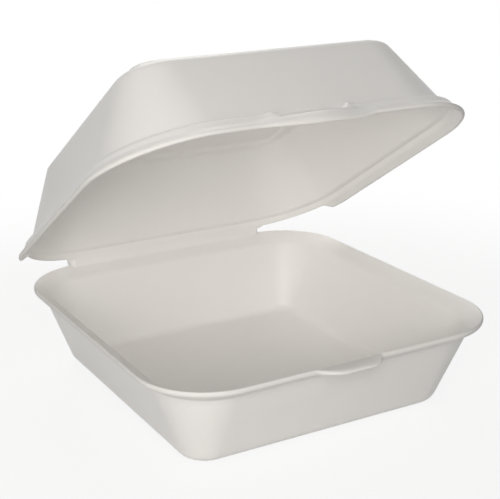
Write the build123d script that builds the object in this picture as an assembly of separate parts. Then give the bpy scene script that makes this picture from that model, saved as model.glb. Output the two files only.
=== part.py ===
"""Hinged food container, thermoformed from one sheet of white foam.

A tray and a deeper lid are folded together along a pressed hinge band. The lid's rim steps out
to a bead and a lip that close round the tray's flared rim, and a tongue on the tray's front edge
fits into a pocket of the lid's bead. Sizes are in millimetres. +X runs along the hinge, +Y
towards the hinge and +Z up, and the origin lies on the table under the middle of the tray.
"""
import os
from math import atan2, cos, sin

from build123d import *

# Foam sheet
sheet = 2.0  # thickness of the formed walls
band = 0.7  # thickness of the pressed hinge band

# Tray
rim_length = 150.0  # rim, left to right, over the cut edges
rim_width = 156.5  # rim, front to hinge, over the cut edges
tray_height = 36.5  # table to the top of the rim
rim_flare = 6.4  # how far the rim stands out from the top of the wall
rim_rise = 4.1  # how far the rim climbs over that flare
tray_lean = 12.4  # how far the wall leans in between rim and floor
floor_bend = 5.0  # bend radius between floor and wall
floor_corner = 9.7  # plan radius where the wall would meet the floor without that bend

# Hinge
hinge_length = 98.0  # length of the band along the hinge
hinge_leaf = 1.6  # width of each half of the band, from the rim's edge to the fold
fold_gap = 0.2  # room between the two halves when they lie on each other
open_angle = 32.0  # degrees that the lid stands open

# Lid, described as it lies level over the tray
side_inset = 1.5  # how far the foot of the wall lies inside the tray's rim at both sides
front_inset = 3.5  # the same at the front
hinge_inset = 6.5  # the same at the hinge
corner_room = 1.0  # how much rounder that foot is in plan than the tray's rim
lip_fall = 0.7  # how far the lip's edge hangs below the top of the rim
lid_rise = 33.3  # foot of the wall to the top of the lid
lid_lean = 15.5  # how far the wall leans in between foot and top
shoulder_bend = 3.5  # bend radius between wall and top
plate_rise = 1.8  # height of the raised plate on the top
plate_inset = 3.6  # width of the margin round the plate
plate_step = 1.2  # width of the slope up to the plate
shelf = 2.5  # flat step between the wall's foot and the bead
bead_bend = 1.9  # bend radius over the bead
bead_drop = 2.6  # height of the bead's outer face
bead_reach = 1.2  # how far that face leans out
lip_drop = 2.3  # height of the flared lip under the bead
lip_reach = 2.8  # how far the lip stands out from the bead
lip_back = 48.0  # how far behind the tray's middle the lip runs along both sides

# Lock
lock_shift = -4.0  # place of the lock along the front edge
tongue_length = 27.5  # tongue, along the front edge
tongue_reach = 3.8  # how far it stands out from the rim
tongue_corner = 3.5  # plan radius of its outer corners
tongue_room = 1.0  # clearance at each end of the tongue in the pocket
pocket_reach = 4.8  # how far the pocket stands out from the bead
pocket_sink = 1.2  # how far the pocket's roof falls towards its edge
pocket_share = 0.5  # how far the pocket's face and lip lean out, as a share of the bead's
cheek = 1.6  # thickness of the pocket's ends

# Reach of a joint into the sheet that carries it, and of a cut past what it cuts
overlap = 3.0
overrun = 20.0


def bent_sheet(points: list, bends: list) -> Sketch:
    """Section of the sheet, its middle following straight runs with bends or creases between."""
    return trace(FilletPolyline(*points, radius=bends), line_width=sheet)


def around(section: Sketch, length: float, width: float, corner: float) -> Part:
    """Carry a section (outward, up) round a rounded rectangle, side by side and corner by corner."""
    run_x = length / 2 - corner
    run_y = width / 2 - corner
    pieces = []
    for turn, (reach, run) in enumerate([(run_x, run_y), (run_y, run_x)] * 2):
        start = Plane(origin=(reach + corner, run, 0), x_dir=(1, 0, 0), z_dir=(0, -1, 0))
        side = extrude(start * section, amount=2 * run)
        bend = revolve(start * section, axis=Axis((reach, run, 0), (0, 0, 1)), revolution_arc=90)
        pieces += [Rot(Z=90 * turn) * side, Rot(Z=90 * turn) * bend]
    return Part() + pieces


def along_front(section: Sketch, edge: float, middle: float, length: float) -> Part:
    """Carry a section (outward, up) along X at a front edge."""
    start = Plane(origin=(middle, -edge, 0), x_dir=(0, -1, 0), z_dir=(-1, 0, 0))
    return extrude(start * section, amount=length / 2, both=True)


def panel(length: float, width: float, corner: float, low: float, high: float) -> Part:
    """Flat rounded panel between two heights."""
    return Pos(0, 0, low) * extrude(RectangleRounded(length, width, corner), amount=high - low)


def strip(low: tuple, high: tuple) -> Part:
    """Straight-sided piece between two opposite corners."""
    size = [top - bottom for bottom, top in zip(low, high)]
    return Pos(*low) * Box(*size, align=(Align.MIN, Align.MIN, Align.MIN))


# Section of the tray's rim: its slope, and the middle of the sheet at its cut edge
rim_slope = atan2(rim_rise, rim_flare)
rim_out = -sheet / 2 * sin(rim_slope)
rim_up = tray_height - sheet / 2 * cos(rim_slope)
tray_foot_out = rim_out - rim_flare - tray_lean
rim_corner = floor_corner - tray_foot_out

# Fold of the hinge, where the two halves of the band meet
fold_y = rim_width / 2 + hinge_leaf
fold_z = tray_height + fold_gap / 2


def tray_shell() -> Part:
    """Floor, leaning walls and flared rim."""
    inset = tray_foot_out - floor_bend
    points = [
        (inset, sheet / 2),
        (tray_foot_out, sheet / 2),
        (rim_out - rim_flare, rim_up - rim_rise),
        (rim_out, rim_up),
    ]
    walls = around(bent_sheet(points, [floor_bend, 0]), rim_length, rim_width, rim_corner)
    floor = panel(rim_length + 2 * inset, rim_width + 2 * inset, rim_corner + inset, 0, sheet)
    return walls + floor


def tongue() -> Part:
    """Tongue on the front rim, bent level out of the sloping rim, with round outer corners."""
    bend_out = rim_out - sheet / 2
    bend_up = rim_up - sheet / 2 * rim_rise / rim_flare
    root = (rim_out - overlap, rim_up - overlap * rim_rise / rim_flare)
    section = bent_sheet([root, (bend_out, bend_up), (tongue_reach, bend_up)], [sheet])
    blank = along_front(section, rim_width / 2, lock_shift, tongue_length)
    outline = RectangleRounded(tongue_length, 2 * (tongue_reach + overlap), tongue_corner)
    return blank & Pos(lock_shift, overlap - rim_width / 2) * extrude(outline, amount=tray_height)


def tray_leaf() -> Part:
    """The tray's half of the pressed hinge band."""
    low = (-hinge_length / 2, rim_width / 2 - sheet, tray_height - band)
    high = (hinge_length / 2, fold_y - fold_gap / 2, tray_height)
    return strip(low, high)


def build_tray() -> Part:
    """The tray, standing on the table."""
    return tray_shell() + tongue() + tray_leaf()


# Plan of the lid at the foot of its wall, fitted over the tray's rim
lid_length = rim_length - 2 * side_inset
lid_width = rim_width - front_inset - hinge_inset
lid_setback = (hinge_inset - front_inset) / 2
lid_corner = rim_corner + corner_room

# Section of the lid's rim: the corners of its middle line, outward from the wall's foot
foot_height = tray_height - lip_fall + lip_drop + bead_drop
lid_top = foot_height + lid_rise
foot = (0, foot_height)
bead = (shelf, foot_height)
crease = (shelf + bead_reach, foot_height - bead_drop)
lip = (crease[0] + lip_reach, crease[1] - lip_drop)

# The same at the pocket, which takes the place of the bead at the lock
pocket = (shelf + pocket_reach, foot_height - pocket_sink)
pocket_crease = (pocket[0] + bead_reach * pocket_share, crease[1])
pocket_lip = (pocket_crease[0] + lip_reach * pocket_share, lip[1])
pocket_length = tongue_length + 2 * tongue_room

# Middle of the sheet in the margin round the plate, and where the wall would meet it without a bend
lid_margin = lid_top - plate_rise - sheet / 2
shoulder = (-lid_lean, lid_margin)


def lid_shell() -> Part:
    """Top with its raised plate, leaning walls, and the rim's shelf, bead and lip."""
    plate_foot = -lid_lean - plate_inset
    plate_edge = plate_foot - plate_step
    inset = plate_edge - overlap
    plate_up = lid_top - sheet / 2
    points = [
        (inset, plate_up),
        (plate_edge, plate_up),
        (plate_foot, lid_margin),
        shoulder,
        foot,
        bead,
        crease,
        lip,
    ]
    bends = [0, 0, shoulder_bend, 0, bead_bend, 0]
    walls = around(bent_sheet(points, bends), lid_length, lid_width, lid_corner)
    size = (lid_length + 2 * inset, lid_width + 2 * inset, lid_corner + inset)
    return walls + panel(*size, lid_top - sheet, lid_top)


def lip_trim() -> Part:
    """What is trimmed off the lip along the hinge and round the rear corners."""
    reach = crease[0]
    keep = panel(lid_length + 2 * reach, lid_width + 2 * reach, lid_corner + reach, 0, lid_top)
    behind = strip((-rim_length, lip_back + lid_setback, 0), (rim_length, rim_width, lid_top))
    return behind - keep


def lid_flange() -> Part:
    """Flange behind the lid's bead, with the lid's half of the pressed hinge band."""
    low = (-hinge_length / 2, lid_width / 2 - lid_setback + shelf, fold_z + fold_gap / 2)
    flange = strip(low, (hinge_length / 2, rim_width / 2, low[2] + sheet))
    leaf = strip(low, (hinge_length / 2, fold_y - fold_gap / 2, low[2] + band))
    return flange + leaf


def lock_cut() -> Part:
    """The stretch of bead that the pocket takes the place of."""
    front = -lid_width / 2
    low = (lock_shift - pocket_length / 2, front - overrun, 0)
    high = (lock_shift + pocket_length / 2, front - sheet / 2, foot_height + sheet)
    return strip(low, high)


def lock_pocket() -> Part:
    """Pocket for the tongue, with a cheek at each end that joins it to the bead."""
    wall_slope = (shoulder[1] - foot[1]) / lid_lean
    wall_point = (-overlap, foot_height + overlap * wall_slope)
    points = [wall_point, foot, pocket, pocket_crease, pocket_lip]
    section = bent_sheet(points, [0, bead_bend, 0])
    roof = along_front(section, lid_width / 2, lock_shift, pocket_length + 2 * cheek)
    face = make_face(Polyline(foot, bead, crease, lip, pocket_lip, pocket_crease, pocket, close=True))
    offset = (pocket_length + cheek) / 2
    cheeks = [along_front(face, lid_width / 2, lock_shift + end, cheek) for end in (-offset, offset)]
    return Part() + [roof] + cheeks


def build_lid() -> Part:
    """The lid, turned about the hinge's fold from level to where it stands open."""
    shell = lid_shell() - lip_trim() - lock_cut() + lock_pocket()
    level = Pos(0, -lid_setback, 0) * shell + lid_flange()
    to_fold = Pos(0, fold_y, fold_z)
    return to_fold * Rot(X=-open_angle) * to_fold.inverse() * level


def main() -> None:
    """Build both halves and write a STEP file of each."""
    os.makedirs("parts", exist_ok=True)
    for name, piece in [("tray", build_tray()), ("lid", build_lid())]:
        export_step(piece, f"parts/{name}.step")
        print(name, round(piece.volume), len(piece.solids()), piece.bounding_box())


main()
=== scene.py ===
import logging
import math
from dataclasses import dataclass, field
from enum import Enum, IntEnum

import bmesh
import bpy
import numpy as np
from mathutils import Matrix, Vector


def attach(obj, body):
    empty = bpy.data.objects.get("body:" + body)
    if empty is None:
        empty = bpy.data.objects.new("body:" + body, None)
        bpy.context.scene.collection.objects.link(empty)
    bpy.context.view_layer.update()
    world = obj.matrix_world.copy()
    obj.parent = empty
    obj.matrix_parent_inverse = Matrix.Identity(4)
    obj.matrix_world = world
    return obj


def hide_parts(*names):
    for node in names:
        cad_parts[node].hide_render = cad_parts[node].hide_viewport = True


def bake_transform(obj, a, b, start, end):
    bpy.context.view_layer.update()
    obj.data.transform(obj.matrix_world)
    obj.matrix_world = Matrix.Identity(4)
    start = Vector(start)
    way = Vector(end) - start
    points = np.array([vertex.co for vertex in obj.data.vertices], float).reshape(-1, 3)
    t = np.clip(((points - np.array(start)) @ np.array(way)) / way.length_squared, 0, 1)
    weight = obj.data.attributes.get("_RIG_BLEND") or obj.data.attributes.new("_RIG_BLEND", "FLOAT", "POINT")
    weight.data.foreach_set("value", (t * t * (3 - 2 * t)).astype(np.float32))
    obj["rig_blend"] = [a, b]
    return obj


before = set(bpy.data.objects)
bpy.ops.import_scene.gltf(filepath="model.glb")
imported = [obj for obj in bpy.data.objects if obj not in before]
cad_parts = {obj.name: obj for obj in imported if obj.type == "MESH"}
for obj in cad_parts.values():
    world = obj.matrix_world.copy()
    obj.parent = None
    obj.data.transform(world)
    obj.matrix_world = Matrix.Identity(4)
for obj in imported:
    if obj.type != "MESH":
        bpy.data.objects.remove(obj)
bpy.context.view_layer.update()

# Dresses the two bodies of a hinged foam container. Each half is one section of foam sheet that
# Geometry Nodes carry round a rounded rectangle, pressed to shape afterwards. +X runs along the
# hinge, +Y towards it and +Z up. Lengths are in millimetres, except for the lamps and the floor.

MM = 0.001  # metres in a millimetre
SAME_POINT = 1e-6  # points of a section that lie closer, in millimetres, are one point
WELD = 1e-4  # corners of a mesh that lie closer, in millimetres, are welded
TINY = 1e-9  # keeps a division away from zero
FRONT_TURN = 0.5  # how far the outline may turn sideways and still count as the front
log = logging.getLogger("foam_container")


class Body(Enum):
    """Bodies of the construction that a piece can ride on."""

    TRAY = "tray"
    LID = "lid"


class Mark(Enum):
    """Attributes that a section carries into the swept mesh."""

    ALONG = "along"
    ACROSS = "across"
    CUT = "cut_edge"


class Side(Enum):
    """The two faces of the foam sheet, as the sign of the offset from its middle."""

    OUTER = 1
    INNER = -1


class TrayCorner(IntEnum):
    """Corners of the tray's section, from the floor to the cut edge."""

    FLOOR = 0
    FOOT = 1
    TOP = 2
    EDGE = 3


class LidCorner(IntEnum):
    """Corners of the lid's section, from the raised plate to the cut edge."""

    PLATE = 0
    PLATE_EDGE = 1
    PLATE_FOOT = 2
    SHOULDER = 3
    FOOT = 4
    BEAD = 5
    CREASE = 6
    EDGE = 7


def smooth_step(low: float, high: float, value: np.ndarray) -> np.ndarray:
    """Ease from 0 below one value to 1 above another.

    Args:
        low: where the rise begins.
        high: where it ends.
        value: what is tested.

    Returns:
        The eased share at each value.
    """
    t = np.clip((value - low) / (high - low), 0, 1)
    return t * t * (3 - 2 * t)


def window(low: float, high: float, soft: float, value: np.ndarray) -> np.ndarray:
    """Share that is 1 between two values and eases to 0 over a soft edge outside them.

    Args:
        low: lower end of the full stretch.
        high: upper end of the full stretch.
        soft: width of the eased edge.
        value: what is tested.

    Returns:
        The share at each value.
    """
    return smooth_step(low - soft, low, value) * (1 - smooth_step(high, high + soft, value))


@dataclass
class Section:
    """Cut through the foam sheet, in millimetres outward from the plan's outline and up."""

    corners: list[tuple[float, float]]
    bends: list[float]  # radius at each corner but the first and the last
    thickness: float
    edge_round: float = 0.92  # radius at both sides of the cut edge
    edge_steps: int = 4  # pieces of each of those rounds
    edge_upright: float = 0.0  # 0 for an edge cut square to the sheet, 1 for an upright one
    step: float = 2.6  # longest piece of a straight run
    arc_step: float = math.radians(11)  # largest turn in one piece of a bend
    arc_least: int = 3  # fewest pieces of a bend

    def _bend(
        self, stop: np.ndarray, ahead: np.ndarray, turn: float, radius: float
    ) -> list[tuple[np.ndarray, np.ndarray]]:
        """Follow one bend of the middle.

        Args:
            stop: where the straight run before the bend ends.
            ahead: direction of that run.
            turn: angle of the bend, positive to the left.
            radius: radius of the bend.

        Returns:
            The points between the bend's ends, each with its direction.
        """
        side = np.array([-ahead[1], ahead[0]]) * math.copysign(1, turn)
        centre = stop + side * radius
        count = max(self.arc_least, math.ceil(abs(turn) / self.arc_step))
        arc = []
        for k in range(1, count):
            cos, sin = math.cos(turn * k / count), math.sin(turn * k / count)
            spin = np.array([[cos, -sin], [sin, cos]])
            arc.append((centre + spin @ (stop - centre), spin @ ahead))
        return arc

    def middle(self) -> tuple[np.ndarray, np.ndarray, np.ndarray]:
        """Follow the middle of the sheet through its runs and bends.

        Returns:
            Points, unit directions and lengths along the line, one row per point.
        """
        points, directions = [], []
        corners = [np.array(c, float) for c in self.corners]
        start = corners[0]
        for index, radius in enumerate([*self.bends, 0.0], 1):
            here = corners[index]
            ahead = (here - start) / np.linalg.norm(here - start)
            arc, stop, next_start = [], here, here
            if index < len(corners) - 1:
                after = corners[index + 1] - here
                after /= np.linalg.norm(after)
                cross = ahead[0] * after[1] - ahead[1] * after[0]
                turn = math.atan2(cross, float(ahead @ after))
                reach = radius * math.tan(abs(turn) / 2)
                stop, next_start = here - ahead * reach, here + after * reach
                arc = self._bend(stop, ahead, turn, radius)
            pieces = max(1, math.ceil(np.linalg.norm(stop - start) / self.step))
            run = [(start + (stop - start) * k / pieces, ahead) for k in range(pieces + 1)]
            for point, direction in run + arc:
                points.append(point)
                directions.append(direction)
            start = next_start
        line = np.array(points)
        gaps = np.linalg.norm(np.diff(line, axis=0), axis=1)
        keep = np.concatenate([[True], gaps > SAME_POINT])
        runs = np.concatenate([[0], np.cumsum(gaps)])
        return line[keep], np.array(directions)[keep], runs[keep]

    def runs_at(self, *corners: int) -> list[float]:
        """Find how far along the middle some of the section's corners lie.

        Args:
            corners: which corners.

        Returns:
            The length along the middle nearest to each corner.
        """
        points, _, runs = self.middle()
        gaps = [np.linalg.norm(points - np.array(self.corners[k]), axis=1) for k in corners]
        return [float(runs[np.argmin(gap)]) for gap in gaps]

    def outline(self) -> tuple[np.ndarray, dict[Mark, np.ndarray]]:
        """Go round the sheet: along its outer face, over the cut edge, back along the inner face.

        Returns:
            Points of the outline, and the value of each mark at them.
        """
        points, directions, runs = self.middle()
        normals = np.c_[-directions[:, 1], directions[:, 0]]
        half = self.thickness / 2
        last, ahead, up = points[-1], directions[-1], normals[-1]
        bevel = self.edge_upright * ahead[1] / ahead[0]
        body = runs < runs[-1] - self.edge_round - half * abs(bevel)
        sheet = list(zip(points[body], normals[body], runs[body]))
        outer = [(p + n * half, run, half, 0.0) for p, n, run in sheet]
        inner = [(p - n * half, run, -half, 0.0) for p, n, run in sheet]
        cap = []
        for k in range(self.edge_steps + 1):
            angle = math.pi / 2 * k / self.edge_steps
            back = self.edge_round * (1 - math.sin(angle))
            high = half - self.edge_round * (1 - math.cos(angle))
            cap.append((back, high))
        edge = []
        for side, turned in ((Side.OUTER, cap), (Side.INNER, cap[::-1])):
            for back, high in turned:
                across = high * side.value
                place = last - ahead * (back - across * bevel) + up * across
                edge.append((place, runs[-1] - back, across, float(back < self.edge_round)))
        rows = outer + edge + inner[::-1]
        marks = {mark: np.array([row[k] for row in rows]) for k, mark in enumerate(Mark, 1)}
        return np.array([row[0] for row in rows]), marks


@dataclass
class Stations:
    """Where the corners of a swept mesh lie beside the plan that the section was carried round."""

    out: np.ndarray  # distance outward from the outline
    facing: np.ndarray  # direction outward
    foot: np.ndarray  # nearest point of the outline
    core_share: np.ndarray  # place along the straight sides, from -1 to 1

    def in_front(self) -> np.ndarray:
        """Which of them lie at the front, away from its corners."""
        return (self.foot[:, 1] < 0) & (np.abs(self.facing[:, 0]) < FRONT_TURN)

    def moved(self, out: np.ndarray, chosen: np.ndarray) -> np.ndarray:
        """Points in plan of the chosen ones, at new distances outward."""
        return self.foot[chosen] + self.facing[chosen] * out[chosen, None]


@dataclass
class Plan:
    """Rounded rectangle, in millimetres, that a section is carried round."""

    length: float
    width: float
    corner: float
    centre_y: float = 0.0
    corner_steps: int = 48

    def locate(self, xy: np.ndarray) -> Stations:
        """Find where points lie beside the outline.

        Args:
            xy: points in plan, one row each.

        Returns:
            The points' places beside the outline.
        """
        centre = np.array([0, self.centre_y])
        inner = np.array([self.length / 2 - self.corner, self.width / 2 - self.corner])
        core = np.clip(xy - centre, -inner, inner)
        away = xy - centre - core
        distance = np.linalg.norm(away, axis=1)
        facing = away / np.maximum(distance, TINY)[:, None]
        foot = core + facing * self.corner + centre
        return Stations(distance - self.corner, facing, foot, core / inner)

    @staticmethod
    def tighten(stations: Stations, amount: np.ndarray) -> np.ndarray:
        """Make the plan's corners tighter while the middles of its sides stay where they are.

        Args:
            stations: where the points lie.
            amount: how much smaller the corner's radius becomes at each point.

        Returns:
            The shift of each point in plan.
        """
        return (stations.core_share**3 - stations.facing) * amount[:, None]


class SectionSweep:
    """Geometry Nodes tree that carries a section of the sheet round a rounded rectangle."""

    NAME = "Section Round Rectangle"

    def __init__(self) -> None:
        """Build the tree once."""
        self.tree = bpy.data.node_groups.new(self.NAME, "GeometryNodeTree")
        sockets = (
            ("Section", "NodeSocketGeometry"),
            ("Length", "NodeSocketFloat"),
            ("Width", "NodeSocketFloat"),
            ("Corner", "NodeSocketFloat"),
            ("Corner Steps", "NodeSocketInt"),
            ("Step", "NodeSocketFloat"),
            ("Material", "NodeSocketMaterial"),
        )
        face = self.tree.interface
        self.inputs = {
            name: face.new_socket(name, in_out="INPUT", socket_type=kind).identifier
            for name, kind in sockets
        }
        face.new_socket("Shell", in_out="OUTPUT", socket_type="NodeSocketGeometry")
        self._wire()

    def _wire(self) -> None:
        """Place the nodes and join them."""
        nodes, links = self.tree.nodes, self.tree.links
        given, result = nodes.new("NodeGroupInput"), nodes.new("NodeGroupOutput")
        rectangle = nodes.new("GeometryNodeCurvePrimitiveQuadrilateral")
        fillet = nodes.new("GeometryNodeFilletCurve")
        fillet.mode = "POLY"
        resample = nodes.new("GeometryNodeResampleCurve")
        resample.mode = "LENGTH"
        upright = nodes.new("GeometryNodeSetCurveNormal")
        upright.mode = "Z_UP"
        profile = nodes.new("GeometryNodeMeshToCurve")
        sweep = nodes.new("GeometryNodeCurveToMesh")
        smooth = nodes.new("GeometryNodeSetShadeSmooth")
        realize = nodes.new("GeometryNodeRealizeInstances")
        paint = nodes.new("GeometryNodeSetMaterial")
        joins = (
            (given.outputs["Length"], rectangle.inputs["Width"]),
            (given.outputs["Width"], rectangle.inputs["Height"]),
            (rectangle.outputs["Curve"], fillet.inputs["Curve"]),
            (given.outputs["Corner Steps"], fillet.inputs["Count"]),
            (given.outputs["Corner"], fillet.inputs["Radius"]),
            (fillet.outputs["Curve"], resample.inputs["Curve"]),
            (given.outputs["Step"], resample.inputs["Length"]),
            (resample.outputs["Curve"], upright.inputs["Curve"]),
            (given.outputs["Section"], profile.inputs["Mesh"]),
            (upright.outputs["Curve"], sweep.inputs["Curve"]),
            (profile.outputs["Curve"], sweep.inputs["Profile Curve"]),
            (sweep.outputs["Mesh"], smooth.inputs["Geometry"]),
            (smooth.outputs["Geometry"], realize.inputs["Geometry"]),
            (realize.outputs["Geometry"], paint.inputs["Geometry"]),
            (given.outputs["Material"], paint.inputs["Material"]),
            (paint.outputs["Geometry"], result.inputs["Shell"]),
        )
        for source, target in joins:
            links.new(source, target)

    @staticmethod
    def _draw(name: str, section: Section) -> bpy.types.Mesh:
        """Draw a section as a line of edges that carries its marks.

        Args:
            name: name of the mesh.
            section: cut through the sheet.

        Returns:
            The line, in millimetres.
        """
        points, marks = section.outline()
        mesh = bpy.data.meshes.new(name)
        edges = [(k, k + 1) for k in range(len(points) - 1)]
        # The sweep hangs a section's own Y downward
        mesh.from_pydata([(out, -up, 0) for out, up in points], edges, [])
        for mark, values in marks.items():
            layer = mesh.attributes.new(mark.value, "FLOAT", "POINT")
            layer.data.foreach_set("value", values.astype(np.float32))
        return mesh

    def shell(
        self, name: str, section: Section, plan: Plan, step: float, material: bpy.types.Material
    ) -> bpy.types.Mesh:
        """Carry a section round a plan.

        Args:
            name: name of the mesh.
            section: cut through the sheet.
            plan: rectangle that it follows.
            step: distance between stations, in millimetres.
            material: finish of the result.

        Returns:
            A plain mesh in millimetres, open at the section's inner ends.
        """
        line = self._draw(name + "_section", section)
        carrier = bpy.data.objects.new(line.name, line)
        bpy.context.scene.collection.objects.link(carrier)
        modifier = carrier.modifiers.new(self.NAME, "NODES")
        modifier.node_group = self.tree
        values = {
            "Length": plan.length,
            "Width": plan.width,
            "Corner": plan.corner,
            "Corner Steps": plan.corner_steps,
            "Step": step,
            "Material": material,
        }
        for socket, value in values.items():
            modifier[self.inputs[socket]] = value
        evaluated = carrier.evaluated_get(bpy.context.evaluated_depsgraph_get())
        made = bpy.data.meshes.new_from_object(evaluated)
        made.name = name
        carrier.modifiers.remove(modifier)
        bpy.data.objects.remove(carrier)
        bpy.data.meshes.remove(line)
        return made


@dataclass
class Shell:
    """Foam sheet swept round a plan, closed by a flat panel."""

    name: str
    section: Section
    plan: Plan
    dome: float = 0.5  # how far the panel rises to its middle
    panel_rings: int = 5
    step: float = 0.9  # distance between stations along the plan

    def sweep(self, sweeper: SectionSweep, material: bpy.types.Material) -> bpy.types.Mesh:
        """Sweep the section and bring the mesh to its place in plan.

        Args:
            sweeper: the Geometry Nodes tree.
            material: finish of the shell.

        Returns:
            The open shell, in millimetres.
        """
        mesh = sweeper.shell(self.name, self.section, self.plan, self.step, material)
        mesh.transform(Matrix.Translation((0, self.plan.centre_y, 0)))
        return mesh

    def close(self, mesh: bpy.types.Mesh) -> None:
        """Fill both sides of the panel and give the cut edge its own finish.

        Args:
            mesh: the open shell, changed in place.
        """
        work = bmesh.new()
        work.from_mesh(mesh)
        bmesh.ops.remove_doubles(work, verts=work.verts, dist=WELD)
        open_edges = [e for e in work.edges if e.is_boundary]
        while open_edges:
            loop = self._loop(open_edges)
            used = set(loop)
            open_edges = [e for e in open_edges if e.verts[0] not in used]
            self._panel(work, loop)
        bmesh.ops.recalc_face_normals(work, faces=work.faces)
        cut = work.verts.layers.float[Mark.CUT.value]
        for face in work.faces:
            face.smooth = True
            face.material_index = int(all(v[cut] > 0.5 for v in face.verts))
        work.to_mesh(mesh)
        work.free()

    @staticmethod
    def _loop(edges: list[bmesh.types.BMEdge]) -> list[bmesh.types.BMVert]:
        """Order the corners of one open loop.

        Args:
            edges: open edges, of one loop or more.

        Returns:
            The corners of the first edge's loop, in order.
        """
        near: dict[bmesh.types.BMVert, list[bmesh.types.BMVert]] = {}
        for edge in edges:
            a, b = edge.verts
            near.setdefault(a, []).append(b)
            near.setdefault(b, []).append(a)
        loop = [edges[0].verts[0], edges[0].verts[1]]
        while True:
            ahead = next(v for v in near[loop[-1]] if v is not loop[-2])
            if ahead is loop[0]:
                return loop
            loop.append(ahead)

    def _panel(self, work: bmesh.types.BMesh, loop: list[bmesh.types.BMVert]) -> None:
        """Fill one loop with rings that shrink to its middle and rise a little.

        Args:
            work: the mesh being edited.
            loop: corners of the hole, in order.
        """
        middle = sum((v.co for v in loop), Vector()) / len(loop)
        rings = [loop]
        for k in range(1, self.panel_rings):
            share = 1 - k / self.panel_rings
            rise = Vector((0, 0, self.dome * (1 - share * share) ** 2))
            rings.append([work.verts.new(middle + (v.co - middle) * share + rise) for v in loop])
        count = len(loop)
        for outer, inner in zip(rings, rings[1:]):
            for k in range(count):
                after = (k + 1) % count
                work.faces.new((outer[k], outer[after], inner[after], inner[k]))
        tip = work.verts.new(middle + Vector((0, 0, self.dome)))
        for k in range(count):
            work.faces.new((rings[-1][k], rings[-1][(k + 1) % count], tip))


def read_mark(mesh: bpy.types.Mesh, mark: Mark) -> np.ndarray:
    """Read a mark.

    Args:
        mesh: a swept mesh.
        mark: which mark.

    Returns:
        The mark's values at the mesh's corners.
    """
    values = np.zeros(len(mesh.vertices), np.float32)
    mesh.attributes[mark.value].data.foreach_get("value", values)
    return values.astype(float)


def read_places(mesh: bpy.types.Mesh) -> np.ndarray:
    """Read where a mesh's corners lie.

    Args:
        mesh: any mesh.

    Returns:
        The corners' places, one row each.
    """
    places = np.zeros(len(mesh.vertices) * 3)
    mesh.vertices.foreach_get("co", places)
    return places.reshape(-1, 3)


def write_places(mesh: bpy.types.Mesh, places: np.ndarray) -> None:
    """Put a mesh's corners at new places."""
    mesh.vertices.foreach_set("co", places.ravel())
    mesh.update()


def place_piece(mesh: bpy.types.Mesh, matrix: Matrix) -> bpy.types.Object:
    """Make an object of a mesh in millimetres, with its place in its mesh.

    Args:
        mesh: the finished mesh.
        matrix: place in the frame, in millimetres.

    Returns:
        The object, at the origin.
    """
    mesh.transform(Matrix.Scale(MM, 4) @ matrix)
    piece = bpy.data.objects.new(mesh.name, mesh)
    bpy.context.scene.collection.objects.link(piece)
    return piece


@dataclass(frozen=True)
class Hinge:
    """Fold line of the hinge and how far the lid stands open, in millimetres and degrees."""

    fold_y: float = 79.85
    fold_z: float = 36.6
    length: float = 98.0
    gap: float = 0.2  # room between the two halves of the band when they lie on each other
    open_angle: float = 32.0

    def lid_place(self) -> Matrix:
        """Turn the lid about the fold.

        Returns:
            The lid's place, from level over the tray to where it stands.
        """
        fold = Vector((0, self.fold_y, self.fold_z))
        turn = Matrix.Rotation(math.radians(-self.open_angle), 4, "X")
        return Matrix.Translation(fold) @ turn @ Matrix.Translation(-fold)


@dataclass(frozen=True)
class Lock:
    """Tongue, pocket and finger tab along the front edge, in millimetres."""

    middle: float = -4.0  # place of the pocket along the edge
    tongue_length: float = 27.5
    tongue_shift: float = 1.2  # how far the tongue lies to the right of the pocket's middle
    tongue_reach: float = 3.8  # how far the tongue stands out from the rim
    left_round: float = 11.0  # length of the tongue's left end, which slopes
    right_round: float = 6.0  # length of its right end, which is round
    pocket_length: float = 26.5
    tab_length: float = 51.0
    tab_drop: float = 1.7  # how far the finger tab hangs below the lip

    def reach(self, x: np.ndarray) -> np.ndarray:
        """Draw the tongue's plan with its sloping and its round end.

        Args:
            x: places along the edge.

        Returns:
            How far the tongue stands out at each place.
        """
        half, beside = self.tongue_length / 2, x - self.middle - self.tongue_shift
        left = np.clip((half + beside) / self.left_round, 0, 1)
        right = np.clip((half - beside) / self.right_round, 0, 1)
        return self.tongue_reach * np.sin(left * math.pi / 2) * np.sqrt(right * (2 - right))

    def swell(self, x: np.ndarray) -> np.ndarray:
        """Share of its full reach that the lip over the tongue has at places along the edge."""
        share = np.clip((x - self.middle) * 2 / self.tab_length, -1, 1)
        return (1 - share**2) ** 2

    def tab(self, x: np.ndarray) -> np.ndarray:
        """How far the tab hangs down along the edge: it fades to the left and ends at the right."""
        share = np.clip((x - self.middle) * 2 / self.tab_length, 0, 1)
        return self.tab_drop * np.where(share > 0, 1 - share**4, self.swell(x))


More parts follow.
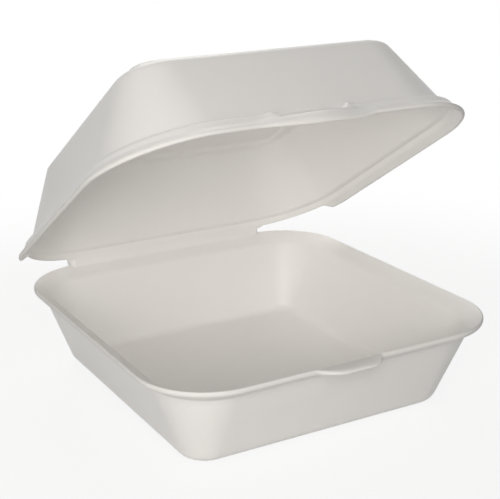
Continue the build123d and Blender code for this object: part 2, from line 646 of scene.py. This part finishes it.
@dataclass
class Tray:
    """Floor, leaning walls, flared rim and tongue, in millimetres."""

    lock: Lock
    sheet: float = 2.0  # thickness of the foam
    length: float = 150.0  # rim, left to right
    width: float = 156.5  # rim, front to hinge
    height: float = 36.5
    flare: float = 6.4  # how far the rim stands out from the wall
    rise: float = 4.1  # how far the rim climbs over that flare
    lean: float = 12.4  # how far the wall leans in between rim and floor
    floor_bend: float = 5.0
    rim_bend: float = 3.2
    floor_corner: float = 9.7  # plan radius at the wall's foot
    floor_shift: float = -1.4  # how far the floor lies aside, along X
    back_tight: tuple[float, float, float] = (3.5, 5.0, 0)  # tighter by, at foot, top and edge
    panel_run: float = 1.5  # flat stretch of the section inside the floor's bend
    edge_upright: float = 0.7  # how upright the rim is cut
    tongue_root: float = 3.4  # width of the rim that bends into the tongue
    tongue_level: float = 0.3  # share of that width's climb at which the tongue lies level
    tongue_bend: float = 0.7  # share of the tongue over which it bends level

    def _slope(self) -> float:
        """Angle at which the rim climbs."""
        return math.atan2(self.rise, self.flare)

    def section(self) -> Section:
        """Cut from the floor up the wall to the rim's cut edge.

        Returns:
            The tray's section.
        """
        slope, half = self._slope(), self.sheet / 2
        end = (-half * math.sin(slope), self.height - half * math.cos(slope))
        top = (end[0] - self.flare, end[1] - self.rise)
        foot = (top[0] - self.lean, half)
        start = (foot[0] - self.floor_bend - self.panel_run, foot[1])
        bends = [self.floor_bend, self.rim_bend]
        return Section([start, foot, top, end], bends, self.sheet, edge_upright=self.edge_upright)

    def plan(self) -> Plan:
        """Outline of the rim's cut edge."""
        inset = self.flare + self.lean + self.sheet / 2 * math.sin(self._slope())
        return Plan(self.length, self.width, self.floor_corner + inset)

    def press_tongue(self, mesh: bpy.types.Mesh, section: Section, plan: Plan) -> None:
        """Draw the front rim out into the tongue, bent level.

        Args:
            mesh: the tray's shell, changed in place.
            section: its section.
            plan: its plan.
        """
        places = read_places(mesh)
        along, across = read_mark(mesh, Mark.ALONG), read_mark(mesh, Mark.ACROSS)
        at = plan.locate(places[:, :2])
        _, directions, runs = section.middle()
        ahead = directions[-1]
        root = np.array(section.corners[TrayCorner.EDGE]) - ahead * self.tongue_root
        share = np.clip((along - runs[-1]) / self.tongue_root + 1, 0, 1)
        reach = self.lock.reach(at.foot[:, 0])
        level = root[1] + ahead[1] * self.tongue_root * self.tongue_level
        tilt = self._slope() * (1 - smooth_step(0, self.tongue_bend, share))
        out = root[0] + (reach - root[0]) * share - across * np.sin(tilt)
        up = root[1] + (level - root[1]) * (1 - (1 - share) ** 2) + across * np.cos(tilt)
        # The bend grows with the reach, so that the tongue rises out of the rim without a step
        full = np.sqrt(reach / self.lock.tongue_reach)
        out = at.out + (out - at.out) * full
        up = places[:, 2] + (up - places[:, 2]) * full
        chosen = (reach > 0) & (share > 0) & at.in_front()
        places[chosen, :2] = at.moved(out, chosen)
        places[chosen, 2] = up[chosen]
        write_places(mesh, places)

    def press_walls(self, mesh: bpy.types.Mesh, section: Section, plan: Plan) -> None:
        """Tighten the corners at the hinge, and set the floor aside, as it came off its mould.

        Args:
            mesh: the tray's shell, changed in place.
            section: its section.
            plan: its plan.
        """
        places, along = read_places(mesh), read_mark(mesh, Mark.ALONG)
        foot, top, edge = section.runs_at(TrayCorner.FOOT, TrayCorner.TOP, TrayCorner.EDGE)
        at = plan.locate(places[:, :2])
        amount = np.interp(along, [foot, top, edge], self.back_tight) * (at.foot[:, 1] > 0)
        places[:, :2] += plan.tighten(at, amount)
        places[:, 0] += np.interp(along, [foot, top], [self.floor_shift, 0])
        write_places(mesh, places)

    def build(
        self, sweeper: SectionSweep, foam: bpy.types.Material, cut: bpy.types.Material
    ) -> bpy.types.Object:
        """Make the tray and set it on its body.

        Args:
            sweeper: the Geometry Nodes tree.
            foam: finish of the sheet.
            cut: finish of its cut edge.

        Returns:
            The finished piece.
        """
        section, plan = self.section(), self.plan()
        shell = Shell("tray_shell", section, plan)
        mesh = shell.sweep(sweeper, foam)
        self.press_tongue(mesh, section, plan)
        self.press_walls(mesh, section, plan)
        mesh.materials.append(cut)
        shell.close(mesh)
        piece = place_piece(mesh, Matrix.Identity(4))
        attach(piece, Body.TRAY.value)
        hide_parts("tray")
        return piece


@dataclass
class Lid:
    """Raised plate, leaning walls, and the rim's shelf, bead and lip with the lock's pocket.

    Sizes are in millimetres, for the lid as it lies level over the tray.
    """

    hinge: Hinge
    lock: Lock
    sheet: float = 2.0  # thickness of the foam
    length: float = 147.0  # foot of the wall, left to right
    width: float = 146.5  # foot of the wall, front to hinge
    corner: float = 30.0  # plan radius at that foot
    setback: float = 1.5  # how far the lid's middle lies in front of the tray's
    top: float = 74.0
    foot_height: float = 40.7
    lean: float = 15.5  # how far the wall leans in between foot and top
    shoulder_bend: float = 3.6
    plate_rise: float = 1.8
    plate_inset: float = 3.6  # margin round the plate
    plate_step: float = 1.3  # width of the slope up to the plate
    plate_bend: float = 1.25
    panel_run: float = 3.0  # flat stretch of the section inside the plate's edge
    section_step: float = 1.6
    shelf: float = 2.5  # step between the wall's foot and the bead
    shelf_bend: float = 1.35
    bead_bend: float = 1.75
    bead_drop: float = 2.6
    bead_reach: float = 1.2  # how far the bead's face leans out
    lip_bend: float = 1.25
    lip_drop: float = 2.3
    lip_reach: float = 2.8
    side_lip: float = 1.0  # how much wider the lip is along both sides
    lip_back: float = 51.0  # how far behind the tray's middle the full lip ends
    trim_before: float = 0.8  # how far before that end the lip begins to narrow
    trim_behind: float = 2.4  # how far behind it the lip is down to a stub
    trim_soft: float = 1.2  # width next to the crease over which the trim takes hold
    stub: float = 0.18  # share of the lip that stays where it is trimmed
    rim_edge: float = 78.25  # how far behind the tray's middle the flange reaches
    flange_soft: float = 1.0  # stretch over which the flange ends
    flange_depth: float = 2.0  # how far round the rear corners the flange may begin
    pocket_soft: float = 2.6  # length of the pocket's sloping ends
    pocket_out: tuple[float, float, float, float] = (0, 1.2, 4.0, 2.8)  # shift from foot to edge
    pocket_up: tuple[float, float, float, float] = (0, -1.7, -0.3, 0)  # the same, upward
    knob_rise: float = 0.75  # height of the small knobs where the bead ends at the pocket
    knob_lean: float = 0.5  # share of that height by which they stand out
    knob_gap: float = 0.4  # room between pocket and knob
    knob_size: tuple[float, float] = (1.5, 1.8)  # half width along the edge and across the bead
    corner_tight: tuple[float, ...] = (3.2, 4.9, 5.6, 1.5, 0)  # tighter by, from plate to foot
    front_round: float = 2.5  # how much rounder the front corners are than the rear ones
    top_shift: tuple[float, float] = (-1.3, -2.4)  # how far the top lies aside and to the front

    def section(self) -> Section:
        """Cut from the plate over the shoulder and wall to the lip's cut edge.

        Returns:
            The lid's section.
        """
        plate = self.top - self.sheet / 2
        margin = plate - self.plate_rise
        plate_foot = -self.lean - self.plate_inset
        plate_edge = plate_foot - self.plate_step
        crease = (self.shelf + self.bead_reach, self.foot_height - self.bead_drop)
        corners = [
            (plate_edge - self.panel_run, plate),
            (plate_edge, plate),
            (plate_foot, margin),
            (-self.lean, margin),
            (0, self.foot_height),
            (self.shelf, self.foot_height),
            crease,
            (crease[0] + self.lip_reach, crease[1] - self.lip_drop),
        ]
        bends = [
            self.plate_bend,
            self.plate_bend,
            self.shoulder_bend,
            self.shelf_bend,
            self.bead_bend,
            self.lip_bend,
        ]
        return Section(corners, bends, self.sheet, step=self.section_step)

    def plan(self) -> Plan:
        """Outline of the foot of the wall."""
        return Plan(self.length, self.width, self.corner, -self.setback)

    def _knobs(self, x: np.ndarray, from_bead: np.ndarray) -> np.ndarray:
        """Shape the small knobs at both ends of the pocket.

        Args:
            x: places along the edge.
            from_bead: distances along the section from the bead's corner.

        Returns:
            Share of the knobs' height at each place.
        """
        pocket_end = self.lock.pocket_length / 2 + self.pocket_soft + self.knob_gap
        beside = np.abs(x - self.lock.middle) - pocket_end
        length, width = self.knob_size
        return np.exp(-((beside / length) ** 2) - (from_bead / width) ** 2)

    def press_lock(self, mesh: bpy.types.Mesh, section: Section, plan: Plan) -> None:
        """Press the pocket into the front bead, with a finger tab below, and spread the side lips.

        Args:
            mesh: the lid's shell, changed in place.
            section: its section.
            plan: its plan.
        """
        places, along = read_places(mesh), read_mark(mesh, Mark.ALONG)
        at = plan.locate(places[:, :2])
        runs = section.runs_at(LidCorner.FOOT, LidCorner.BEAD, LidCorner.CREASE, LidCorner.EDGE)
        foot, bead, crease, edge = runs
        x, front = at.foot[:, 0], at.in_front()
        start = self.lock.middle - self.lock.pocket_length / 2
        stop = self.lock.middle + self.lock.pocket_length / 2
        # The bead ends at the pocket, while crease and lip swell out over a longer stretch
        below = np.interp(along, [bead, crease], [0, 1])
        pocket = window(start, stop, self.pocket_soft, x) * front
        pocket = pocket * (1 - below) + self.lock.swell(x) * front * below
        lip = np.interp(along, [crease, edge], [0, 1])
        out = at.out + np.interp(along, runs, self.pocket_out) * pocket
        up = places[:, 2] + np.interp(along, runs, self.pocket_up) * pocket
        up -= self.lock.tab(x) * lip * front
        spread = self.side_lip * lip * np.abs(at.facing[:, 0])
        slope = math.atan2(self.lip_drop, self.lip_reach)
        knob = self._knobs(x, along - bead) * front * self.knob_rise
        out += spread * math.cos(slope) + knob * self.knob_lean
        up += knob - spread * math.sin(slope)
        rim = along > foot
        places[rim, :2] = at.moved(out, rim)
        places[rim, 2] = up[rim]
        write_places(mesh, places)

    def press_back(self, mesh: bpy.types.Mesh, section: Section, plan: Plan) -> None:
        """Trim the lip behind the sides and press it flat into the flange at the hinge.

        Args:
            mesh: the lid's shell, changed in place.
            section: its section.
            plan: its plan.
        """
        places = read_places(mesh)
        along, across = read_mark(mesh, Mark.ALONG), read_mark(mesh, Mark.ACROSS)
        at = plan.locate(places[:, :2])
        x, y = at.foot.T
        crease = np.array(section.corners[LidCorner.CREASE])
        lip = np.array(section.corners[LidCorner.EDGE]) - crease
        run = along - section.runs_at(LidCorner.CREASE)[0]
        behind = smooth_step(self.lip_back - self.trim_before, self.lip_back + self.trim_behind, y)
        behind = behind * smooth_step(0, self.trim_soft, run)
        back = self.width / 2 - self.setback
        at_hinge = window(-self.hinge.length / 2, self.hinge.length / 2, self.flange_soft, x)
        at_hinge = at_hinge * (y > back - self.flange_depth)
        angle = math.atan2(lip[1], lip[0])
        stub = run * self.stub
        stub_out = crease[0] + stub * math.cos(angle) - across * math.sin(angle)
        stub_up = crease[1] + stub * math.sin(angle) + across * math.cos(angle)
        flange_reach = self.rim_edge - (back + crease[0])
        flange_out = crease[0] + run * flange_reach / np.linalg.norm(lip)
        flange_up = self.hinge.fold_z + self.hinge.gap / 2 + self.sheet / 2 + across
        goal_out = stub_out * (1 - at_hinge) + flange_out * at_hinge
        goal_up = stub_up * (1 - at_hinge) + flange_up * at_hinge
        out = at.out * (1 - behind) + goal_out * behind
        rim = behind > 0
        places[rim, :2] = at.moved(out, rim)
        places[:, 2] = places[:, 2] * (1 - behind) + goal_up * behind
        write_places(mesh, places)

    def press_corners(self, mesh: bpy.types.Mesh, section: Section, plan: Plan) -> None:
        """Tighten the wall's corners towards the top, more at the back, and set the top aside.

        Args:
            mesh: the lid's shell, changed in place.
            section: its section.
            plan: its plan.
        """
        places, along = read_places(mesh), read_mark(mesh, Mark.ALONG)
        runs = section.runs_at(*range(LidCorner.PLATE, LidCorner.FOOT + 1))
        at = plan.locate(places[:, :2])
        amount = np.interp(along, runs, self.corner_tight)
        amount = amount - self.front_round * (at.foot[:, 1] < plan.centre_y)
        places[:, :2] += plan.tighten(at, amount)
        rise = np.interp(along, runs[LidCorner.SHOULDER:], [1, 0])
        places[:, :2] += rise[:, None] * np.array(self.top_shift)
        write_places(mesh, places)

    def build(
        self, sweeper: SectionSweep, foam: bpy.types.Material, cut: bpy.types.Material
    ) -> bpy.types.Object:
        """Make the lid and set it on its body.

        Args:
            sweeper: the Geometry Nodes tree.
            foam: finish of the sheet.
            cut: finish of its cut edge.

        Returns:
            The finished piece.
        """
        section, plan = self.section(), self.plan()
        shell = Shell("lid_shell", section, plan)
        mesh = shell.sweep(sweeper, foam)
        self.press_lock(mesh, section, plan)
        self.press_back(mesh, section, plan)
        self.press_corners(mesh, section, plan)
        mesh.materials.append(cut)
        shell.close(mesh)
        piece = place_piece(mesh, self.hinge.lid_place())
        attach(piece, Body.LID.value)
        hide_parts("lid")
        return piece


@dataclass
class HingeBand:
    """Pressed band that folds between the tray's rim and the lid, smooth inside and thin behind.

    Points and pulls are (back, up) in millimetres, those of the lid as it lies level.
    """

    hinge: Hinge
    thickness: float = 0.7
    back_reach: float = 1.4  # how far each half runs from the fold under its rim
    tray_point: tuple[float, float] = (75.3, 35.22)  # where the inside leaves the tray's rim
    tray_pull: tuple[float, float] = (1.3, 0.84)  # direction in which it does
    lid_point: tuple[float, float] = (74.3, 38.2)  # where the inside meets the lid
    lid_pull: tuple[float, float] = (0.8, -1.5)  # direction from which it does
    end_run: float = 2.6  # length of the band's rounded ends
    end_steps: int = 10
    curve_steps: int = 20
    fold_steps: int = 12
    crease_angle: float = 40.0  # degrees from which an edge shows as a crease

    def _inside(self, fullness: float) -> list[Vector]:
        """Follow the inside from the tray's rim over to the lid's wall.

        Args:
            fullness: 1 for the smooth web, 0 for the bare corner of the fold.

        Returns:
            Points of the curve in the frame, in millimetres.
        """
        place = self.hinge.lid_place()
        start = Vector((0, *self.tray_point))
        end = place @ Vector((0, *self.lid_point))
        first = start + Vector((0, *self.tray_pull))
        second = end + place.to_3x3() @ Vector((0, *self.lid_pull))
        fold = Vector((0, self.hinge.fold_y - self.hinge.gap, self.hinge.fold_z))
        points = []
        for k in range(self.curve_steps + 1):
            t = k / self.curve_steps
            weights = ((1 - t) ** 3, 3 * t * (1 - t) ** 2, 3 * t * t * (1 - t), t**3)
            web = sum((w * p for w, p in zip(weights, (start, first, second, end))), Vector())
            corner = start.lerp(fold, 2 * t) if t < 0.5 else fold.lerp(end, 2 * t - 1)
            points.append(corner.lerp(web, fullness))
        return points

    def _behind(self) -> list[Vector]:
        """Follow the back from the lid's flange round the fold to the tray's rim.

        Returns:
            Points of the curve in the frame, in millimetres.
        """
        fold = Vector((0, self.hinge.fold_y, self.hinge.fold_z))
        radius = self.hinge.gap / 2 + self.thickness
        turn = math.pi - math.radians(self.hinge.open_angle)
        place = self.hinge.lid_place().to_3x3()
        points = [fold + place @ Vector((0, -self.back_reach, radius))]
        for k in range(self.fold_steps + 1):
            angle = -math.pi / 2 + turn * (1 - k / self.fold_steps)
            points.append(fold + Vector((0, math.cos(angle), math.sin(angle))) * radius)
        points.append(fold + Vector((0, -self.back_reach, -radius)))
        return points

    def _stations(self) -> list[tuple[float, float]]:
        """Place the sections along the hinge, close together at its ends.

        Returns:
            The place of each section and the fullness of its web.
        """
        half = self.hinge.length / 2
        shares = [k / self.end_steps for k in range(self.end_steps + 1)]
        left = [(-half + self.end_run * t * t, math.sqrt(t * t * (2 - t * t))) for t in shares]
        return left + [(-x, fullness) for x, fullness in reversed(left)]

    def _mesh(self) -> bpy.types.Mesh:
        """Join the sections into a closed band.

        Returns:
            The band, in millimetres.
        """
        behind = self._behind()
        rows = []
        for x, fullness in self._stations():
            rows.append([Vector((x, p.y, p.z)) for p in self._inside(fullness) + behind])
        count = len(rows[0])
        faces = []
        for low in range(0, (len(rows) - 1) * count, count):
            high = low + count
            for k in range(count):
                after = (k + 1) % count
                faces.append((low + k, low + after, high + after, high + k))
        faces += [tuple(range(count)), tuple(range((len(rows) - 1) * count, len(rows) * count))]
        mesh = bpy.data.meshes.new("hinge_band")
        mesh.from_pydata([place for row in rows for place in row], [], faces)
        work = bmesh.new()
        work.from_mesh(mesh)
        bmesh.ops.triangulate(work, faces=[f for f in work.faces if len(f.verts) > 4])
        bmesh.ops.recalc_face_normals(work, faces=work.faces)
        for face in work.faces:
            face.smooth = True
        for edge in work.edges:
            edge.smooth = edge.calc_face_angle() < math.radians(self.crease_angle)
        work.to_mesh(mesh)
        work.free()
        return mesh

    def build(self, foam: bpy.types.Material) -> bpy.types.Object:
        """Make the band and bend it between the two bodies.

        Args:
            foam: finish of the sheet.

        Returns:
            The finished piece.
        """
        mesh = self._mesh()
        mesh.materials.append(foam)
        piece = place_piece(mesh, Matrix.Identity(4))
        web = self._inside(1)
        start, end = web[0] * MM, web[-1] * MM
        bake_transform(piece, Body.TRAY.value, Body.LID.value, start=start, end=end)
        return piece


class FoamCells:
    """Shader node group for the fine cells and soft unevenness of foam sheet."""

    NAME = "Foam Cells"
    CELL_DETAIL = 2
    SWELL_DETAIL = 1

    def __init__(self) -> None:
        """Build the group once."""
        self.tree = bpy.data.node_groups.new(self.NAME, "ShaderNodeTree")
        face = self.tree.interface
        face.new_socket("Vector", in_out="INPUT", socket_type="NodeSocketVector")
        for name in ("Cell Scale", "Swell Scale", "Cell Share", "Gloss", "Gloss Range"):
            face.new_socket(name, in_out="INPUT", socket_type="NodeSocketFloat")
        for name in ("Height", "Roughness"):
            face.new_socket(name, in_out="OUTPUT", socket_type="NodeSocketFloat")
        self._wire()

    def _wire(self) -> None:
        """Place the nodes and join them."""
        nodes, links = self.tree.nodes, self.tree.links
        given, result = nodes.new("NodeGroupInput"), nodes.new("NodeGroupOutput")
        cells = nodes.new("ShaderNodeTexNoise")
        cells.inputs["Detail"].default_value = self.CELL_DETAIL
        swell = nodes.new("ShaderNodeTexNoise")
        swell.inputs["Detail"].default_value = self.SWELL_DETAIL
        height = nodes.new("ShaderNodeMix")
        gloss = nodes.new("ShaderNodeMath")
        gloss.operation = "MULTIPLY_ADD"
        joins = (
            (given.outputs["Vector"], cells.inputs["Vector"]),
            (given.outputs["Cell Scale"], cells.inputs["Scale"]),
            (given.outputs["Vector"], swell.inputs["Vector"]),
            (given.outputs["Swell Scale"], swell.inputs["Scale"]),
            (given.outputs["Cell Share"], height.inputs["Factor"]),
            (swell.outputs["Fac"], height.inputs["A"]),
            (cells.outputs["Fac"], height.inputs["B"]),
            (height.outputs["Result"], result.inputs["Height"]),
            (swell.outputs["Fac"], gloss.inputs[0]),
            (given.outputs["Gloss Range"], gloss.inputs[1]),
            (given.outputs["Gloss"], gloss.inputs[2]),
            (gloss.outputs["Value"], result.inputs["Roughness"]),
        )
        for source, target in joins:
            links.new(source, target)


@dataclass(frozen=True)
class FoamFinish:
    """White foam sheet with a satin skin and fine cells. Sizes in millimetres."""

    name: str = "white_foam"
    colour: tuple[float, float, float] = (0.97, 0.958, 0.94)
    roughness: float = 0.30
    roughness_range: float = 0.14
    specular: float = 0.25
    cell_size: float = 0.8
    swell_size: float = 16.0
    cell_share: float = 0.12  # share of the cells in the relief, beside the swells
    relief: float = 0.28

    def material(self, cells: FoamCells) -> bpy.types.Material:
        """Make the material.

        Args:
            cells: the shared node group.

        Returns:
            The foam's material.
        """
        made = bpy.data.materials.new(self.name)
        made.use_nodes = True
        nodes, links = made.node_tree.nodes, made.node_tree.links
        shader = nodes["Principled BSDF"]
        shader.inputs["Base Color"].default_value = (*self.colour, 1)
        shader.inputs["Specular IOR Level"].default_value = self.specular
        place = nodes.new("ShaderNodeTexCoord")
        skin = nodes.new("ShaderNodeGroup")
        skin.node_tree = cells.tree
        values = {
            "Cell Scale": 1 / (self.cell_size * MM),
            "Swell Scale": 1 / (self.swell_size * MM),
            "Cell Share": self.cell_share,
            "Gloss": self.roughness,
            "Gloss Range": self.roughness_range,
        }
        for socket, value in values.items():
            skin.inputs[socket].default_value = value
        bump = nodes.new("ShaderNodeBump")
        bump.inputs["Distance"].default_value = self.relief * MM
        links.new(place.outputs["Object"], skin.inputs["Vector"])
        links.new(skin.outputs["Height"], bump.inputs["Height"])
        links.new(bump.outputs["Normal"], shader.inputs["Normal"])
        links.new(skin.outputs["Roughness"], shader.inputs["Roughness"])
        return made


@dataclass(frozen=True)
class CutFinish(FoamFinish):
    """Cut edge of the sheet: duller than its skin, with open cells; its darker colour is painted shade that
    tones down the light its face catches from the lamps.
    """

    name: str = "cut_foam_painted_shade"
    # darker than the skin as painted shade, toning down the light the cut face catches from the lamps
    colour: tuple[float, float, float] = (0.90, 0.885, 0.865)
    roughness: float = 0.5
    specular: float = 0.2
    cell_share: float = 0.5
    relief: float = 0.2


@dataclass(frozen=True)
class Viewpoint:
    """Camera of the picture: angles in degrees, lengths in millimetres."""

    azimuth: float = -29.62
    elevation: float = 17.96
    roll: float = -0.59
    distance: float = 356.05
    target: tuple[float, float, float] = (-57.14, -101.12, 94.5)
    lens: float = 83.9
    sensor: float = 36.0
    clip_start: float = 10.0

    def build(self) -> bpy.types.Object:
        """Make the camera and use it.

        Returns:
            The camera.
        """
        az, el = math.radians(self.azimuth), math.radians(self.elevation)
        back = Vector((math.sin(az) * math.cos(el), -math.cos(az) * math.cos(el), math.sin(el)))
        right = Vector((math.cos(az), math.sin(az), 0))
        up = back.cross(right)
        cos, sin = math.cos(math.radians(self.roll)), math.sin(math.radians(self.roll))
        turn = Matrix((right * cos + up * sin, up * cos - right * sin, back)).transposed()
        data = bpy.data.cameras.new("camera")
        data.lens, data.sensor_width = self.lens, self.sensor
        data.clip_start = self.clip_start * MM
        camera = bpy.data.objects.new("camera", data)
        place = (Vector(self.target) + back * self.distance) * MM
        camera.matrix_world = Matrix.Translation(place) @ turn.to_4x4()
        bpy.context.scene.collection.objects.link(camera)
        bpy.context.scene.camera = camera
        return camera


@dataclass(frozen=True)
class Lamp:
    """Square studio lamp: place, size and aim in metres, power in watts."""

    name: str
    place: tuple[float, float, float]
    size: float
    power: float
    aim: tuple[float, float, float] = (0, 0, 0.07)
    colour: tuple[float, float, float] = (1.0, 0.97, 0.93)

    def build(self) -> bpy.types.Object:
        """Make the lamp.

        Returns:
            The lamp.
        """
        data = bpy.data.lights.new(self.name, "AREA")
        data.size, data.energy, data.color = self.size, self.power, self.colour
        lamp = bpy.data.objects.new(self.name, data)
        lamp.location = self.place
        ahead = Vector(self.aim) - Vector(self.place)
        lamp.rotation_euler = ahead.to_track_quat("-Z", "Y").to_euler()
        bpy.context.scene.collection.objects.link(lamp)
        return lamp


@dataclass
class Studio:
    """White floor, two soft lamps from the front left, one from behind and a pale world.

    Lengths are in metres.
    """

    floor_size: float = 8.0
    floor_drop: float = 0.0002  # room between the floor and the tray
    floor_roughness: float = 0.9
    floor_seen: float = 0.95  # grey of the floor as the camera sees it
    floor_bounce: float = 0.60  # grey of the floor as it lights the container
    near_lift: float = 0.85  # share of plain white in the floor under the container
    fade_start: float = 0.14  # distance from which that share grows
    fade_end: float = 0.34  # distance at which the floor is plain white
    fill_level: float = 0.16  # strength of the world's light
    lamps: list[Lamp] = field(default_factory=lambda: [
        Lamp("key", (-0.470, -0.395, 0.156), 0.30, 1.10),
        Lamp("front", (-0.239, -0.513, 0.322), 0.30, 1.33),
        Lamp("back", (0.17, 0.55, 0.54), 0.40, 1.9),
    ])

    @staticmethod
    def seen_directly(tree: bpy.types.NodeTree) -> bpy.types.NodeSocket:
        """Mask of the rays that show the background: straight, in a gloss or through glass.

        Args:
            tree: node tree that gets the mask.

        Returns:
            The socket that puts out the mask.
        """
        ray = tree.nodes.new("ShaderNodeLightPath")
        mask = ray.outputs["Is Camera Ray"]
        for kind in ("Is Glossy Ray", "Is Transmission Ray"):
            either = tree.nodes.new("ShaderNodeMath")
            either.operation = "MAXIMUM"
            tree.links.new(mask, either.inputs[0])
            tree.links.new(ray.outputs[kind], either.inputs[1])
            mask = either.outputs["Value"]
        return mask

    def world(self) -> None:
        """Set a world that looks white and fills the shadows softly."""
        world = bpy.data.worlds.new("studio")
        bpy.context.scene.world = world
        world.use_nodes = True
        nodes, links = world.node_tree.nodes, world.node_tree.links
        fill, white = nodes["Background"], nodes.new("ShaderNodeBackground")
        for light, strength in ((fill, self.fill_level), (white, 1)):
            light.inputs["Color"].default_value = (1, 1, 1, 1)
            light.inputs["Strength"].default_value = strength
        mix = nodes.new("ShaderNodeMixShader")
        links.new(self.seen_directly(world.node_tree), mix.inputs["Fac"])
        links.new(fill.outputs["Background"], mix.inputs[1])
        links.new(white.outputs["Background"], mix.inputs[2])
        links.new(mix.outputs["Shader"], nodes["World Output"].inputs["Surface"])

    def floor_paint(self) -> bpy.types.Material:
        """Make the floor's paint: it keeps the shadow near the container and is white farther off.

        Returns:
            The floor's material.
        """
        paint = bpy.data.materials.new("floor_white")
        paint.use_nodes = True
        nodes, links = paint.node_tree.nodes, paint.node_tree.links
        matte = nodes["Principled BSDF"]
        matte.inputs["Roughness"].default_value = self.floor_roughness
        matte.inputs["Specular IOR Level"].default_value = 0
        white = nodes.new("ShaderNodeEmission")
        white.inputs["Strength"].default_value = 1
        place = nodes.new("ShaderNodeTexCoord")
        distance = nodes.new("ShaderNodeVectorMath")
        distance.operation = "LENGTH"
        fade = nodes.new("ShaderNodeMapRange")
        fade.interpolation_type = "SMOOTHSTEP"
        fade.inputs["From Min"].default_value = self.fade_start
        fade.inputs["From Max"].default_value = self.fade_end
        fade.inputs["To Min"].default_value = self.near_lift
        tone = nodes.new("ShaderNodeMix")
        tone.data_type = "RGBA"
        tone.inputs["A"].default_value = (self.floor_bounce,) * 3 + (1,)
        tone.inputs["B"].default_value = (self.floor_seen,) * 3 + (1,)
        share = nodes.new("ShaderNodeMath")
        share.operation = "MULTIPLY"
        mix = nodes.new("ShaderNodeMixShader")
        seen = self.seen_directly(paint.node_tree)
        joins = (
            (seen, tone.inputs["Factor"]),
            (tone.outputs["Result"], matte.inputs["Base Color"]),
            (place.outputs["Object"], distance.inputs[0]),
            (distance.outputs["Value"], fade.inputs["Value"]),
            (fade.outputs["Result"], share.inputs[0]),
            (seen, share.inputs[1]),
            (share.outputs["Value"], mix.inputs["Fac"]),
            (matte.outputs["BSDF"], mix.inputs[1]),
            (white.outputs["Emission"], mix.inputs[2]),
            (mix.outputs["Shader"], nodes["Material Output"].inputs["Surface"]),
        )
        for source, target in joins:
            links.new(source, target)
        return paint

    def floor(self) -> bpy.types.Object:
        """Lay the floor.

        Returns:
            The floor.
        """
        half = self.floor_size / 2
        corners = [(-half, -half, 0), (half, -half, 0), (half, half, 0), (-half, half, 0)]
        mesh = bpy.data.meshes.new("floor")
        mesh.from_pydata(corners, [], [(0, 1, 2, 3)])
        mesh.materials.append(self.floor_paint())
        floor = bpy.data.objects.new("floor", mesh)
        floor.location.z = -self.floor_drop
        bpy.context.scene.collection.objects.link(floor)
        return floor

    def build(self) -> None:
        """Set the stage and its light."""
        self.world()
        self.floor()
        for lamp in self.lamps:
            lamp.build()
        bpy.context.scene.view_settings.view_transform = "Standard"


def main() -> None:
    """Build the pieces, the stage and the camera in order."""
    logging.basicConfig(level=logging.INFO)
    cells = FoamCells()
    foam, cut = FoamFinish().material(cells), CutFinish().material(cells)
    sweeper = SectionSweep()
    hinge, lock = Hinge(), Lock()
    for piece in (
        Tray(lock).build(sweeper, foam, cut),
        Lid(hinge, lock).build(sweeper, foam, cut),
        HingeBand(hinge).build(foam),
    ):
        mesh = piece.data
        log.info("%s: %d corners, %d faces", piece.name, len(mesh.vertices), len(mesh.polygons))
    Studio().build()
    Viewpoint().build()


if __name__ == "__main__":
    main()
